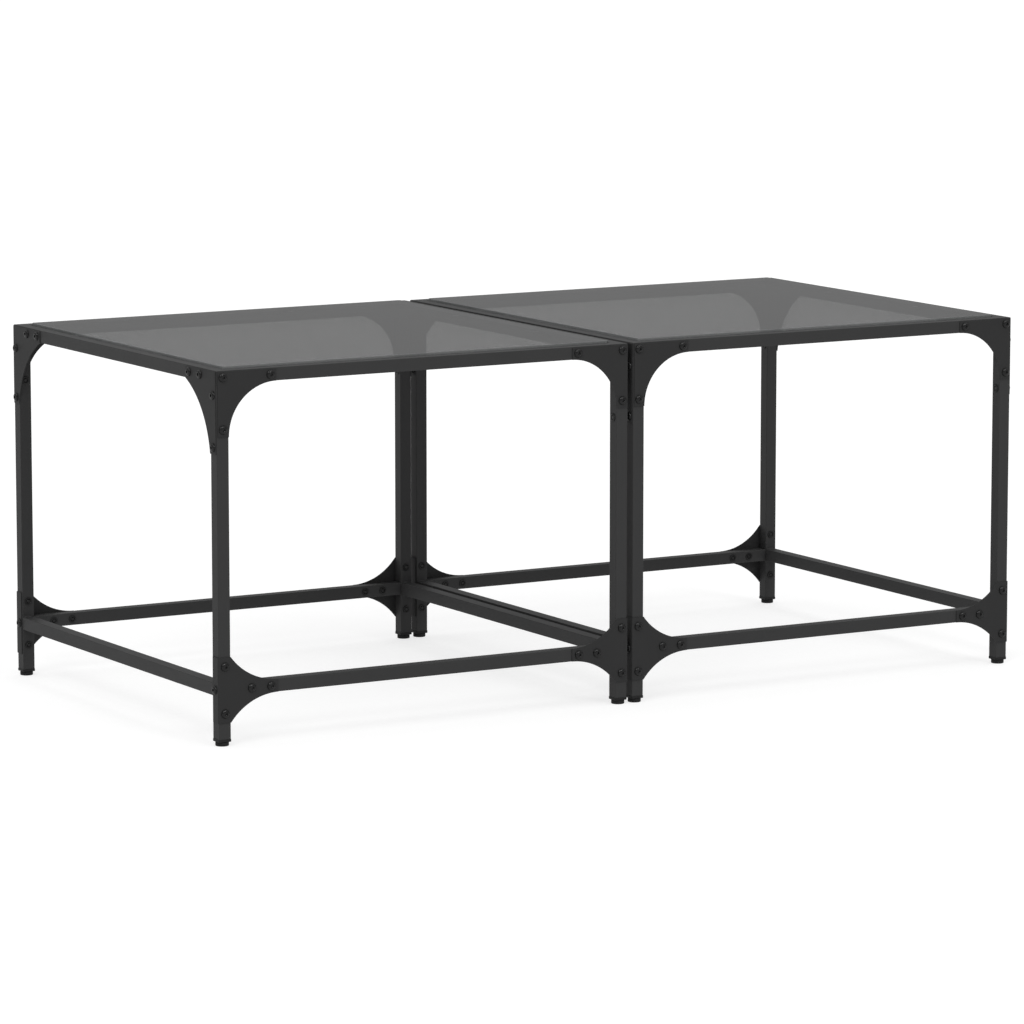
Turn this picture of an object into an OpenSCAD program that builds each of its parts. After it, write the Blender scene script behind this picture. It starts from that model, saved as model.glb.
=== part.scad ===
// Pair of square side tables: bolted square-tube frames with loose glass tops.
// Origin: on the floor, midway between the two tables. +X runs along the pair, +Z up, -Y is the front.

/* [Tables] */
// Width of one table over its tubes (X)
table_w = 500; // [350:5:700]
// Depth of one table over its tubes (Y)
table_d = 500; // [350:5:700]
// Height from the floor to the top of the glass
table_h = 400; // [320:5:600]
// Free space between the facing bolt heads of the two tables
table_clearance = 0.4; // [0.3:0.1:10]

/* [Tubes] */
// Side of the square tube
tube = 14; // [12:0.5:20]
// Wall of the tube
tube_wall = 1; // [0.8:0.1:1.4]
// Outer corner radius of the tube
tube_radius = 0.7; // [0.5:0.1:1.8]
// Height of the lower rails' centre line
base_rail_z = 60; // [50:1:120]

/* [Glass] */
// Thickness of the glass
glass_t = 4; // [3:0.5:6]
// How far the glass stands above the top rails
glass_proud = 2.5; // [0.5:0.5:2.5]
// Space between the edge of the glass and the rails
glass_clearance = 1; // [0.5:0.1:3]
// Corner radius of the glass
glass_radius = 3; // [1:0.5:8]
// Thickness of the clear pads under the glass
pad_t = 0.5; // [0.3:0.1:0.8]
// Diameter of the clear pads
pad_d = 8; // [5:0.5:9]

/* [Ledges] */
// Width of one ledge bracket along its rail
ledge_w = 26; // [15:1:40]
// How far a ledge reaches in under the glass
ledge_reach = 13; // [12:0.5:20]
// Height of a ledge bracket's upright leg
ledge_drop = 10; // [6:0.5:10]
// Thickness of the ledge brackets
ledge_t = 1.5; // [1:0.1:2]
// Distance of a ledge from the middle of its rail
ledge_offset = 90; // [40:5:100]

/* [Corner plates] */
// Thickness of all corner plates
plate_t = 1; // [0.8:0.1:2]
// Reach of the plates along the rails, from the outer corner
plate_reach = 70; // [66:1:90]
// Drop of the front and back top plates, from the rail's top
face_plate_drop = 70; // [68:1:80]
// Drop of the side top plates, from the rail's top
side_plate_drop = 88; // [86:1:100]
// Radius of the arc on the side top plates
side_arc_radius = 97; // [80:1:140]
// Height of the lower T plates
base_plate_h = 70; // [62:1:90]
// Width of the flange that a T plate turns round the leg
flange_w = 12; // [11:0.1:12]
// Set-back of the top plates from the tube's outer edge
plate_setback = 1; // [0.5:0.1:2]

/* [Bolt pattern] */
// Top face plates: leg bolt below the rail's top
face_leg_bolt = 62; // [58:0.5:63]
// Top face plates: rail bolt from the outer corner
face_rail_bolt = 63; // [56:0.5:63]
// Side plates: upper leg bolt below the rail's top
side_leg_bolt_1 = 26; // [24:0.5:30]
// Side plates: lower leg bolt below the rail's top
side_leg_bolt_2 = 81; // [76:0.5:81]
// Side plates: first rail bolt from the outer corner
side_rail_bolt_1 = 36.5; // [32:0.5:40]
// Side plates: second rail bolt from the outer corner
side_rail_bolt_2 = 62; // [54:0.5:63]
// T plates: distance between the two leg bolts
base_leg_pitch = 50; // [44:0.5:52]
// T plates: first rail bolt from the outer corner
base_rail_bolt_1 = 38.5; // [34:0.5:42]
// T plates: second rail bolt from the outer corner
base_rail_bolt_2 = 61.5; // [54:0.5:63]

/* [Fasteners] */
// Bolt thread diameter
bolt_d = 5; // [4:0.5:5]
// Bolt head diameter
bolt_head_d = 9.5; // [8:0.1:10]
// Bolt head height
bolt_head_h = 2.4; // [1.8:0.1:3]
// Hexagon socket across flats
socket_af = 3; // [2:0.5:3]
// Depth of the hexagon socket
socket_depth = 1.5; // [0.8:0.1:1.5]
// Hole clearance on the bolt's diameter
hole_clearance = 0.5; // [0.3:0.1:0.8]
// Thread clearance on the diameter, inside nuts
thread_clearance = 0.1; // [0.1:0.02:0.2]
// Flange diameter of the rivet nuts
nut_flange_d = 9; // [8:0.5:10]
// Flange thickness of the rivet nuts
nut_flange_t = 1; // [0.6:0.1:1.5]
// Length of the rivet nuts inside the tube
nut_body_l = 7; // [5:0.5:8]
// Distance of a bolt's end below the flange of its rivet nut
bolt_recess = 0.2; // [0.1:0.1:0.5]
// Length of the threaded blocks in the ends of the lower rails
insert_l = 12; // [8:1:14]
// Length of the blind nuts in the corners of the top frame
blind_nut_l = 8; // [6:0.5:9]

/* [Feet] */
// Diameter of a foot's sole
foot_d = 14.5; // [12:0.5:20]
// Thickness of a foot's disc
foot_h = 4.2; // [3:0.1:8]
// Rounding of the foot's lower edge
foot_round = 0.8; // [0.3:0.1:1]
// Diameter of the foot's threaded stud
stud_d = 6; // [5:0.5:6]
// Length of the stud above the disc
stud_l = 20; // [14:1:22]
// Running clearance on the stud's diameter, in the plug
stud_clearance = 0.12; // [0.06:0.02:0.18]
// Gap between a foot's disc and its plug when it is screwed fully in
foot_gap = 0.3; // [0.3:0.1:1]
// Flange thickness of the end plugs
plug_flange_t = 3; // [2:0.5:4]
// How far a plug's flange stands out past the tube
plug_lip = 0.4; // [0.2:0.1:0.8]
// Length of a plug inside the tube
plug_depth = 13; // [8:1:14]

/* [Hidden] */
$fn = 64;
TABLES = ["left_table", "right_table"];
CORNERS = ["front_left", "front_right", "back_left", "back_right"];
SIDES = ["front", "back", "left", "right"];
GROUPS = ["glass_top", "glass_pads", "glass_ledges", "leg_plugs", "bolts", "nuts"];

function names(table, kind, places) = [for (p = places) str(table, "_", kind, "_", p)];

cut = 1;              // how far a cutter runs past the face it cuts
overlap = 0.01;       // how deep two shapes of one solid run into each other
part_fit = 0.1;       // gap on each side of a part pushed into a hollow
ledge_air = 0.1;      // gap between a ledge and its pad
pad_edge = 1;         // bare width of ledge in front of a pad
blind_nut_skin = 1;   // wall of the blind nuts
blind_flare = 1.2;    // how far a blind nut's pressed bulge stands out past its body
blind_flare_t = 1.8;  // thickness of that bulge
end_bolt_gap = 2;     // free thread left in an end block behind its bolt
crown_share = 0.42;   // flat top of a bolt head, as a share of its radius

tube_mid = tube / 2;
cavity = tube - 2 * tube_wall;
push_fit_side = cavity - 2 * part_fit;
frame_h = table_h - glass_proud;
top_rail_z = frame_h - tube_mid;
leg_bottom = foot_h + foot_gap + plug_flange_t;
leg_top = frame_h - tube;
glass_inset = tube + glass_clearance;
glass_bottom = table_h - glass_t;
ledge_top = glass_bottom - pad_t - ledge_air;
pad_inset = tube + ledge_reach - pad_d / 2 - pad_edge;
hole_d = bolt_d + hole_clearance;
thread_d = bolt_d + thread_clearance;
blind_nut_d = bolt_d + 2 * blind_nut_skin;
through_l = plate_t + tube + nut_flange_t - bolt_recess;
end_bolt_l = plate_t + tube + insert_l - end_bolt_gap;
corner_bolt_l = plate_t + blind_nut_l;
table_gap = 2 * (plate_t + bolt_head_h) + table_clearance;
table_shift = (table_w + table_gap) / 2;
base_arc_radius = let (dx = plate_reach - tube, dz = (base_plate_h - tube) / 2)
    (dx * dx + dz * dz) / (2 * dz);
frame_black = [0.12, 0.12, 0.125];
zinc_black = [0.07, 0.07, 0.07];
moulded_black = [0.05, 0.05, 0.05];
smoked_glass = [0.3, 0.31, 0.32, 0.5];
clear_silicone = [0.85, 0.87, 0.88, 0.6];

function is_right(corner) = corner == "front_right" || corner == "back_right";
function is_back(corner) = corner == "back_left" || corner == "back_right";

// Centre of an arc of radius r that passes through p and q, on the far side from the outer corner.
function arc_centre(p, q, r) =
    let (mid = (p + q) / 2, half = norm(q - p) / 2, along = (q - p) / norm(q - p))
    mid + sqrt(r * r - half * half) * [along[1], -along[0]];

// ---- Placing ----

// Puts its children at one table's floor centre.
module at_table(table) {
    translate([table == "left_table" ? -table_shift : table_shift, 0, 0]) children();
}

// Children are drawn with the outer corner of the leg at the origin, +X and +Y pointing inwards.
module at_corner(corner) {
    right = is_right(corner);
    back = is_back(corner);
    translate([right ? table_w / 2 : -table_w / 2, back ? table_d / 2 : -table_d / 2, 0])
        mirror([right ? 1 : 0, 0, 0])
            mirror([0, back ? 1 : 0, 0])
                children();
}

// Children are drawn for the front (long face at y = 0, rail along +X from x = 0) of a table corner frame.
module at_side(side) {
    w = side == "front" || side == "back" ? table_w : table_d;
    d = side == "front" || side == "back" ? table_d : table_w;
    turn = side == "front" ? 0 : side == "back" ? 180 : side == "left" ? -90 : 90;
    rotate([0, 0, turn]) translate([-w / 2, -d / 2, 0]) children();
}

function side_length(side) = side == "front" || side == "back" ? table_w : table_d;

// ---- Basic shapes ----

module rounded_square(size, r) {
    flat = size - 2 * r;
    translate([r, 0]) square([flat, size]);
    translate([0, r]) square([size, flat]);
    for (x = [r, size - r])
        for (y = [r, size - r])
            translate([x, y]) circle(r);
}

module rounded_plate(w, h, r) {
    translate([r, 0]) square([w - 2 * r, h]);
    translate([0, r]) square([w, h - 2 * r]);
    for (x = [r, w - r])
        for (y = [r, h - r])
            translate([x, y]) circle(r);
}

// Square tube standing on z = 0, outer corner at the origin.
module square_tube(length) {
    linear_extrude(length)
        difference() {
            rounded_square(tube, tube_radius);
            translate([tube_wall, tube_wall]) square(cavity);
        }
}

// Square tube lying along +X, from x = 0, with its outer corner edge on the X axis.
module lying_tube(length) {
    translate([0, tube, 0]) rotate([90, 0, 90]) mirror([1, 0, 0]) square_tube(length);
}

// Cutter along +Y through plate and tube, centred at x, z.
module hole_y(x, z, d = hole_d, depth = tube) {
    translate([x, -plate_t - cut, z]) rotate([-90, 0, 0]) cylinder(h = plate_t + depth + 2 * cut, d = d);
}

// Cutter along +X through plate and tube, centred at y, z.
module hole_x(y, z) {
    translate([-plate_t - cut, y, z]) rotate([0, 90, 0]) cylinder(h = plate_t + tube + 2 * cut, d = hole_d);
}

// Cutter along +Y for a bolt and for the rivet nut in the tube's inner wall.
module nut_hole_y(x, z) {
    hole_y(x, z);
    translate([x, tube - tube_wall - cut, z]) rotate([-90, 0, 0]) nut_seat();
}

// Cutter along +X for a bolt and for the rivet nut in the tube's inner wall.
module nut_hole_x(y, z) {
    hole_x(y, z);
    translate([tube - tube_wall - cut, y, z]) rotate([0, 90, 0]) nut_seat();
}

// Hole for a rivet nut's body through one wall, standing on z = 0.
module nut_seat() {
    cylinder(h = tube_wall + 2 * cut, d = blind_nut_d + part_fit);
}

// ---- Frame tubes ----

// One mitred side of the welded top frame.
module top_rail(side) {
    l = side_length(side);
    long_side = side == "front" || side == "back";
    holes = long_side ? [face_rail_bolt, l - face_rail_bolt]
        : [side_rail_bolt_1, side_rail_bolt_2, l - side_rail_bolt_1, l - side_rail_bolt_2];
    color(frame_black)
        at_side(side)
            difference() {
                intersection() {
                    translate([0, 0, leg_top]) lying_tube(l);
                    translate([0, 0, leg_top - cut]) linear_extrude(tube + 2 * cut)
                        polygon([[0, 0], [l, 0], [l - tube, tube], [tube, tube]]);
                }
                for (x = holes) nut_hole_y(x, top_rail_z);
                if (long_side)
                    for (x = [tube_mid, l - tube_mid])
                        hole_y(x, top_rail_z, blind_nut_d + part_fit, tube_wall);
            }
}

// Leg with its bolt holes; the upper end carries the top frame.
module leg(corner) {
    color(frame_black)
        at_corner(corner)
            difference() {
                translate([0, 0, leg_bottom]) square_tube(leg_top - leg_bottom);
                nut_hole_y(tube_mid, frame_h - face_leg_bolt);
                for (z = [-1, 1]) nut_hole_y(tube_mid, base_rail_z + z * base_leg_pitch / 2);
                for (z = [side_leg_bolt_1, side_leg_bolt_2]) nut_hole_x(tube_mid, frame_h - z);
                hole_x(tube_mid, base_rail_z);
            }
}

// Lower rail between two legs.
module base_rail(side) {
    l = side_length(side);
    bolted = side == "front" || side == "back";
    color(frame_black)
        at_side(side)
            difference() {
                translate([tube, 0, base_rail_z - tube_mid]) lying_tube(l - 2 * tube);
                if (bolted)
                    for (x = [base_rail_bolt_1, base_rail_bolt_2])
                        for (at = [x, l - x]) nut_hole_y(at, base_rail_z);
            }
}

// ---- Corner plates ----

// Outline of a top plate in its own plane: x along the rail, y up, outer top corner at the origin.
module top_plate_outline(drop, centre, radius) {
    top = plate_setback;
    difference() {
        translate([plate_setback, -drop]) square([plate_reach - plate_setback, drop - top]);
        intersection() {
            translate(centre) circle(radius, $fn = 160);
            translate([tube, -drop - cut]) square([plate_reach, drop + cut - tube]);
        }
    }
}

// Outline of the plates on the front and back faces: a quarter arc from leg to rail.
module face_plate_outline() {
    r = face_plate_drop - tube;
    w = plate_reach - tube;
    arc = max(r, w);
    top_plate_outline(face_plate_drop, arc_centre([tube, -face_plate_drop], [plate_reach, -tube], arc), arc);
}

// Outline of the taller plates on the side faces.
module side_plate_outline() {
    top_plate_outline(side_plate_drop,
        arc_centre([tube, -side_plate_drop], [plate_reach, -tube], side_arc_radius), side_arc_radius);
}

// Stands a plate drawn in its plane on the front face, from y = -plate_t to y = 0.
module on_face() {
    rotate([90, 0, 0]) linear_extrude(plate_t) children();
}

// The two separate plates that tie one corner of the top frame to its leg.
module top_plates(corner) {
    color(frame_black)
        at_corner(corner) {
            difference() {
                translate([0, 0, frame_h]) on_face() face_plate_outline();
                hole_y(tube_mid, top_rail_z);
                hole_y(tube_mid, frame_h - face_leg_bolt);
                hole_y(face_rail_bolt, top_rail_z);
            }
            difference() {
                translate([0, 0, frame_h]) mirror([1, -1, 0]) on_face() side_plate_outline();
                for (z = [side_leg_bolt_1, side_leg_bolt_2]) hole_x(tube_mid, frame_h - z);
                for (y = [side_rail_bolt_1, side_rail_bolt_2]) hole_x(y, top_rail_z);
            }
        }
}

// Outline of a T plate: x along the rail, y up, the rail's centre line at y = 0.
module base_plate_outline() {
    h = base_plate_h / 2;
    difference() {
        translate([tube_radius, -h]) square([plate_reach - tube_radius, base_plate_h]);
        for (s = [-1, 1])
            intersection() {
                translate([plate_reach, s * (tube_mid + base_arc_radius)])
                    circle(base_arc_radius, $fn = 160);
                translate([tube, s > 0 ? tube_mid : -h - cut]) square([plate_reach, h + cut - tube_mid]);
            }
    }
}

// Plan of the bend and the flange that turns round the leg.
module flange_plan() {
    difference() {
        translate([tube_radius, tube_radius]) circle(tube_radius + plate_t);
        translate([tube_radius, tube_radius]) circle(tube_radius);
        translate([tube_radius, -plate_t - cut]) square([tube, tube + plate_t + cut]);
        translate([-plate_t - cut, tube_radius]) square([tube + plate_t + cut, tube]);
    }
}

// T plate of one lower corner, bent round the leg's outer face.
module base_plate(corner) {
    color(frame_black)
        at_corner(corner)
            translate([0, 0, base_rail_z])
                difference() {
                    union() {
                        on_face() base_plate_outline();
                        translate([0, 0, -base_plate_h / 2]) linear_extrude(base_plate_h) flange_plan();
                        translate([-plate_t, tube_radius, -base_plate_h / 2])
                            cube([plate_t, flange_w - tube_radius, base_plate_h]);
                    }
                    for (s = [-1, 1]) hole_y(tube_mid, s * base_leg_pitch / 2);
                    for (x = [base_rail_bolt_1, base_rail_bolt_2]) hole_y(x, 0);
                    hole_x(tube_mid, 0);
                }
}

// ---- Fasteners ----

// Button-head bolt: seat of the head at z = 0, shank along -z, head above.
module button_bolt(length) {
    dome_r = bolt_head_d / 2;
    crown_r = dome_r * crown_share;
    translate([0, 0, -length]) cylinder(h = length + overlap, d = bolt_d);
    difference() {
        rotate_extrude()
            polygon(concat([[0, 0], [dome_r, 0]],
                [for (a = [10:20:90]) [crown_r + (dome_r - crown_r) * cos(a), bolt_head_h * sin(a)]],
                [[0, bolt_head_h]]));
        translate([0, 0, bolt_head_h - socket_depth])
            cylinder(h = socket_depth + cut, d = socket_af / cos(30), $fn = 6);
    }
}

// Rivet nut seated on z = 0: flange above, body and pressed bulge below, bore for the thread.
module rivet_nut() {
    difference() {
        union() {
            cylinder(h = nut_flange_t, d = nut_flange_d);
            translate([0, 0, -nut_body_l]) cylinder(h = nut_body_l + overlap, d = blind_nut_d);
            translate([0, 0, -tube_wall - blind_flare_t])
                cylinder(h = blind_flare_t, d = blind_nut_d + 2 * blind_flare);
        }
        translate([0, 0, -nut_body_l - cut])
            cylinder(h = nut_body_l + nut_flange_t + 2 * cut, d = thread_d);
    }
}

// Places a bolt that enters along +Y at x, z, with its head on the plate.
module bolt_y(x, z, length) {
    translate([x, -plate_t, z]) rotate([90, 0, 0]) button_bolt(length);
}

// Places a bolt that enters along +X at y, z, with its head on the plate.
module bolt_x(y, z, length) {
    translate([-plate_t, y, z]) rotate([0, -90, 0]) button_bolt(length);
}

// Places a rivet nut in the inner wall of a tube, bolt along +Y.
module nut_y(x, z) {
    translate([x, tube, z]) rotate([-90, 0, 0]) rivet_nut();
}

// Places a rivet nut in the inner wall of a tube, bolt along +X.
module nut_x(y, z) {
    translate([tube, y, z]) rotate([0, 90, 0]) rivet_nut();
}

// Bolts of one corner: three face bolts, four side bolts, four T-plate bolts and one end bolt.
module corner_bolts() {
    bolt_y(tube_mid, top_rail_z, corner_bolt_l);
    bolt_y(tube_mid, frame_h - face_leg_bolt, through_l);
    bolt_y(face_rail_bolt, top_rail_z, through_l);
    for (z = [side_leg_bolt_1, side_leg_bolt_2]) bolt_x(tube_mid, frame_h - z, through_l);
    for (y = [side_rail_bolt_1, side_rail_bolt_2]) bolt_x(y, top_rail_z, through_l);
    for (s = [-1, 1]) bolt_y(tube_mid, base_rail_z + s * base_leg_pitch / 2, through_l);
    for (x = [base_rail_bolt_1, base_rail_bolt_2]) bolt_y(x, base_rail_z, through_l);
    bolt_x(tube_mid, base_rail_z, end_bolt_l);
}

// Nuts of one corner, the blind nut in the top frame and the threaded block in the lower rail's end.
module corner_nuts() {
    nut_y(tube_mid, frame_h - face_leg_bolt);
    nut_y(face_rail_bolt, top_rail_z);
    for (z = [side_leg_bolt_1, side_leg_bolt_2]) nut_x(tube_mid, frame_h - z);
    for (y = [side_rail_bolt_1, side_rail_bolt_2]) nut_x(y, top_rail_z);
    for (s = [-1, 1]) nut_y(tube_mid, base_rail_z + s * base_leg_pitch / 2);
    for (x = [base_rail_bolt_1, base_rail_bolt_2]) nut_y(x, base_rail_z);
    blind_nut();
    end_block();
}

// Blind rivet nut set into the outer wall of the top frame.
module blind_nut() {
    translate([tube_mid, 0, top_rail_z]) rotate([-90, 0, 0])
        difference() {
            union() {
                cylinder(h = blind_nut_l, d = blind_nut_d);
                translate([0, 0, tube_wall]) cylinder(h = blind_flare_t, d = blind_nut_d + 2 * blind_flare);
            }
            translate([0, 0, -cut]) cylinder(h = blind_nut_l + 2 * cut, d = thread_d);
        }
}

// Threaded block in the end of a bolted lower rail.
module end_block() {
    side = push_fit_side;
    translate([tube, tube_mid - side / 2, base_rail_z - side / 2])
        difference() {
            cube([insert_l, side, side]);
            translate([-cut, side / 2, side / 2])
                rotate([0, 90, 0]) cylinder(h = insert_l + 2 * cut, d = thread_d);
        }
}

module bolts() {
    color(zinc_black)
        for (c = CORNERS) at_corner(c) corner_bolts();
}

module nuts() {
    color(zinc_black)
        for (c = CORNERS) at_corner(c) corner_nuts();
}

// ---- Feet ----

// Levelling foot: round disc with a rounded lower edge and a threaded stud.
module foot(corner) {
    color(moulded_black)
        at_corner(corner)
            translate([tube_mid, tube_mid, 0]) {
                rotate_extrude()
                    union() {
                        translate([0, 0]) square([foot_d / 2 - foot_round, foot_h]);
                        translate([0, foot_round]) square([foot_d / 2, foot_h - foot_round]);
                        translate([foot_d / 2 - foot_round, foot_round]) circle(foot_round);
                    }
                translate([0, 0, foot_h - overlap]) cylinder(h = stud_l + overlap, d = stud_d);
            }
}

// Plugs in the lower ends of the four legs, each bored for a foot's stud.
module leg_plugs() {
    lip_size = tube + 2 * plug_lip;
    body = push_fit_side;
    bore = stud_d + stud_clearance;
    color(moulded_black)
        for (c = CORNERS)
            at_corner(c)
                difference() {
                    union() {
                        translate([-plug_lip, -plug_lip, leg_bottom - plug_flange_t])
                            linear_extrude(plug_flange_t) rounded_square(lip_size, tube_radius + plug_lip);
                        translate([tube_mid - body / 2, tube_mid - body / 2, leg_bottom - overlap])
                            cube([body, body, plug_depth + overlap]);
                    }
                    translate([tube_mid, tube_mid, 0]) cylinder(h = leg_bottom + plug_depth + cut, d = bore);
                }
}

// ---- Glass ----

module glass_top() {
    w = table_w - 2 * glass_inset;
    d = table_d - 2 * glass_inset;
    color(smoked_glass)
        translate([-w / 2, -d / 2, glass_bottom]) linear_extrude(glass_t) rounded_plate(w, d, glass_radius);
}

// Two places along each rail, as distances from the rail's corner.
function ledge_places(side) = [for (s = [-1, 1]) side_length(side) / 2 + s * ledge_offset];

module glass_pads() {
    color(clear_silicone)
        for (side = SIDES)
            at_side(side)
                for (x = ledge_places(side))
                    translate([x, pad_inset, glass_bottom - pad_t]) cylinder(h = pad_t, d = pad_d);
}

// L-shaped ledges on the inner faces of the top frame, which carry the glass.
module glass_ledges() {
    color(frame_black)
        for (side = SIDES)
            at_side(side)
                for (x = ledge_places(side))
                    translate([x - ledge_w / 2, tube, ledge_top]) {
                        translate([0, 0, -ledge_t]) cube([ledge_w, ledge_reach, ledge_t]);
                        translate([0, 0, -ledge_drop]) cube([ledge_w, ledge_t, ledge_drop]);
                    }
}

// ---- Assembly: one node each ----

for (t = TABLES) {
    for (s = SIDES) {
        at_table(t) top_rail(s);
        at_table(t) base_rail(s);
    }
    for (c = CORNERS) {
        at_table(t) leg(c);
        at_table(t) top_plates(c);
        at_table(t) base_plate(c);
        at_table(t) foot(c);
    }
    at_table(t) glass_top();
    at_table(t) glass_pads();
    at_table(t) glass_ledges();
    at_table(t) leg_plugs();
    at_table(t) bolts();
    at_table(t) nuts();
}
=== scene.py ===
"""Looks for a pair of bolted side tables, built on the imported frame.

The square tubes are the frame's own nodes with a new finish. Plates, fasteners, feet, plugs, ledges,
pads and glass are built here as surfaces and stand for the plain nodes. Lengths are in millimetres
until a mesh is made, and every piece lies where the frame's boxes say.
"""

import logging
import math
from dataclasses import dataclass, field
from enum import Enum
from typing import Any, Callable, Iterator, Sequence

import bpy
import numpy as np
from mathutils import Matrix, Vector
from mathutils.geometry import delaunay_2d_cdt


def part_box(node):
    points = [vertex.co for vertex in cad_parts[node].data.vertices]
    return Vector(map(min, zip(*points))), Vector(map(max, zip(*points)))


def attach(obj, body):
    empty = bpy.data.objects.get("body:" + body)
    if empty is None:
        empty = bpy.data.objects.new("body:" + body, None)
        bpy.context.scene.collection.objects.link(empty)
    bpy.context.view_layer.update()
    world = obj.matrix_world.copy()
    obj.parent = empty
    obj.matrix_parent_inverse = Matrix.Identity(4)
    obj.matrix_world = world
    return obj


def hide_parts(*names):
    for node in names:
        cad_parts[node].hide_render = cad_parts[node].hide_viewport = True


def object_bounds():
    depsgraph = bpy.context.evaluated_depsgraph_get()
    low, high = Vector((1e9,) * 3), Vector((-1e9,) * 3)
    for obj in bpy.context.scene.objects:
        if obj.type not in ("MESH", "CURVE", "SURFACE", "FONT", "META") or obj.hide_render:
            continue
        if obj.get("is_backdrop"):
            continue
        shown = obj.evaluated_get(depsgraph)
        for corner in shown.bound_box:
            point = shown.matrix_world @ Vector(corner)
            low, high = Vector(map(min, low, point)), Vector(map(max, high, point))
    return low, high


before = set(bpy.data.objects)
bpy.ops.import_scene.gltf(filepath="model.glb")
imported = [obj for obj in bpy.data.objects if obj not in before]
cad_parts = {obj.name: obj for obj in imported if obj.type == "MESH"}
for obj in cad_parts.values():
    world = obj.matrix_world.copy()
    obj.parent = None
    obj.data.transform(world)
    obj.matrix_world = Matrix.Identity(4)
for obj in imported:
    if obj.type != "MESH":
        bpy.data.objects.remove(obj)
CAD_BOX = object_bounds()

MM = 0.001
ROUND_MID = 0.29  # how far the middle of a quarter round lies in from each side, as a share of its radius
LOG = logging.getLogger("side_tables")


class Table(Enum):
    """The two tables, by the prefix of their nodes."""

    LEFT = "left_table"
    RIGHT = "right_table"


class Corner(Enum):
    """The four corners of a table: name, whether it is at the right, whether it is at the back."""

    FRONT_LEFT = ("front_left", False, False)
    FRONT_RIGHT = ("front_right", True, False)
    BACK_LEFT = ("back_left", False, True)
    BACK_RIGHT = ("back_right", True, True)

    @property
    def label(self) -> str:
        """The corner's part of a node name."""
        return self.value[0]


class Side(Enum):
    """The four sides of a table: name, quarter turns from the front."""

    FRONT = ("front", 0)
    RIGHT = ("right", 1)
    BACK = ("back", 2)
    LEFT = ("left", 3)

    @property
    def label(self) -> str:
        """The side's part of a node name."""
        return self.value[0]


class Axis(Enum):
    """Which way a fastener enters the frame, as the columns of its own x, y and z axes."""

    BOLT_Y = ((1, 0, 0), (0, 0, 1), (0, -1, 0))
    BOLT_X = ((0, 0, 1), (0, 1, 0), (-1, 0, 0))
    NUT_Y = ((1, 0, 0), (0, 0, -1), (0, 1, 0))
    NUT_X = ((0, 0, -1), (0, 1, 0), (1, 0, 0))


# ---- Placing and meshing ----


@dataclass(frozen=True)
class Placement:
    """A turn or mirror and a shift that carry a shape's own axes into the table frame."""

    columns: tuple[tuple[float, ...], ...] = ((1, 0, 0), (0, 1, 0), (0, 0, 1))
    origin: tuple[float, ...] = (0, 0, 0)

    @property
    def matrix(self) -> np.ndarray:
        """The images of the own axes, as columns."""
        return np.array(self.columns, float).T

    @property
    def flips(self) -> bool:
        """True if the placement turns a right hand into a left hand."""
        return bool(np.linalg.det(self.matrix) < 0)

    def apply(self, points: np.ndarray) -> np.ndarray:
        """Carries points into the outer frame.

        Args:
            points: Rows of x, y and z in the shape's own axes.

        Returns:
            The same rows in the outer frame.
        """
        return points @ self.matrix.T + np.array(self.origin, float)

    def inside(self, outer: "Placement") -> "Placement":
        """Places this placement inside another.

        Args:
            outer: The placement that is applied second.

        Returns:
            One placement that does both.
        """
        matrix = outer.matrix @ self.matrix
        origin = outer.apply(np.array([self.origin], float))[0]
        return Placement(tuple(map(tuple, matrix.T)), tuple(origin))


@dataclass
class Patch:
    """Points of one closed shape, and its faces as arrays with one row a face."""

    points: np.ndarray
    faces: list[np.ndarray]
    tags: list[int] = field(default_factory=list)


@dataclass
class Skin:
    """Gathers the patches of one piece and makes its Blender object."""

    name: str
    patches: list[Patch] = field(default_factory=list)

    def add(self, patch: Patch, place: Placement = Placement()) -> None:
        """Adds a shape to the piece.

        Args:
            patch: The shape in its own axes.
            place: Where it goes in the row frame.
        """
        faces = [f[:, ::-1] if place.flips else f for f in patch.faces]
        self.patches.append(Patch(place.apply(patch.points), faces, patch.tags))

    def build(self, finishes: Sequence["Finish"], sharp: float = 34.0) -> bpy.types.Object:
        """Makes the object, with smooth faces that stay crisp at folds.

        Args:
            finishes: One finish for each tag used by the patches.
            sharp: Fold angle in degrees above which an edge is sharp.

        Returns:
            The object, linked to the scene, at the origin.
        """
        starts = np.cumsum([0] + [len(p.points) for p in self.patches[:-1]])
        faces, tags = [], []
        for start, patch in zip(starts, self.patches):
            faces += [f + start for f in patch.faces]
            marks = patch.tags or [0] * len(patch.faces)
            tags += [np.full(len(f), m) for f, m in zip(patch.faces, marks)]
        points = np.concatenate([p.points for p in self.patches]) * MM
        sizes = np.concatenate([np.full(len(f), f.shape[1]) for f in faces])
        corners = np.concatenate([f.ravel() for f in faces]).astype(np.int32)
        mesh = bpy.data.meshes.new(self.name)
        mesh.vertices.add(len(points))
        mesh.vertices.foreach_set("co", points.astype(np.float32).ravel())
        mesh.loops.add(len(corners))
        mesh.loops.foreach_set("vertex_index", corners)
        mesh.polygons.add(len(sizes))
        first = np.concatenate([[0], np.cumsum(sizes)[:-1]]).astype(np.int32)
        mesh.polygons.foreach_set("loop_start", first)
        mesh.polygons.foreach_set("material_index", np.concatenate(tags).astype(np.int32))
        mesh.polygons.foreach_set("use_smooth", np.ones(len(sizes), bool))
        mesh.update(calc_edges=True)
        mesh.validate()
        mesh.set_sharp_from_angle(angle=math.radians(sharp))
        for finish in finishes:
            mesh.materials.append(finish.material())
        made = bpy.data.objects.new(self.name, mesh)
        bpy.context.scene.collection.objects.link(made)
        weighted = made.modifiers.new("face_weighted_normals", "WEIGHTED_NORMAL")
        weighted.keep_sharp = True
        return made


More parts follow.
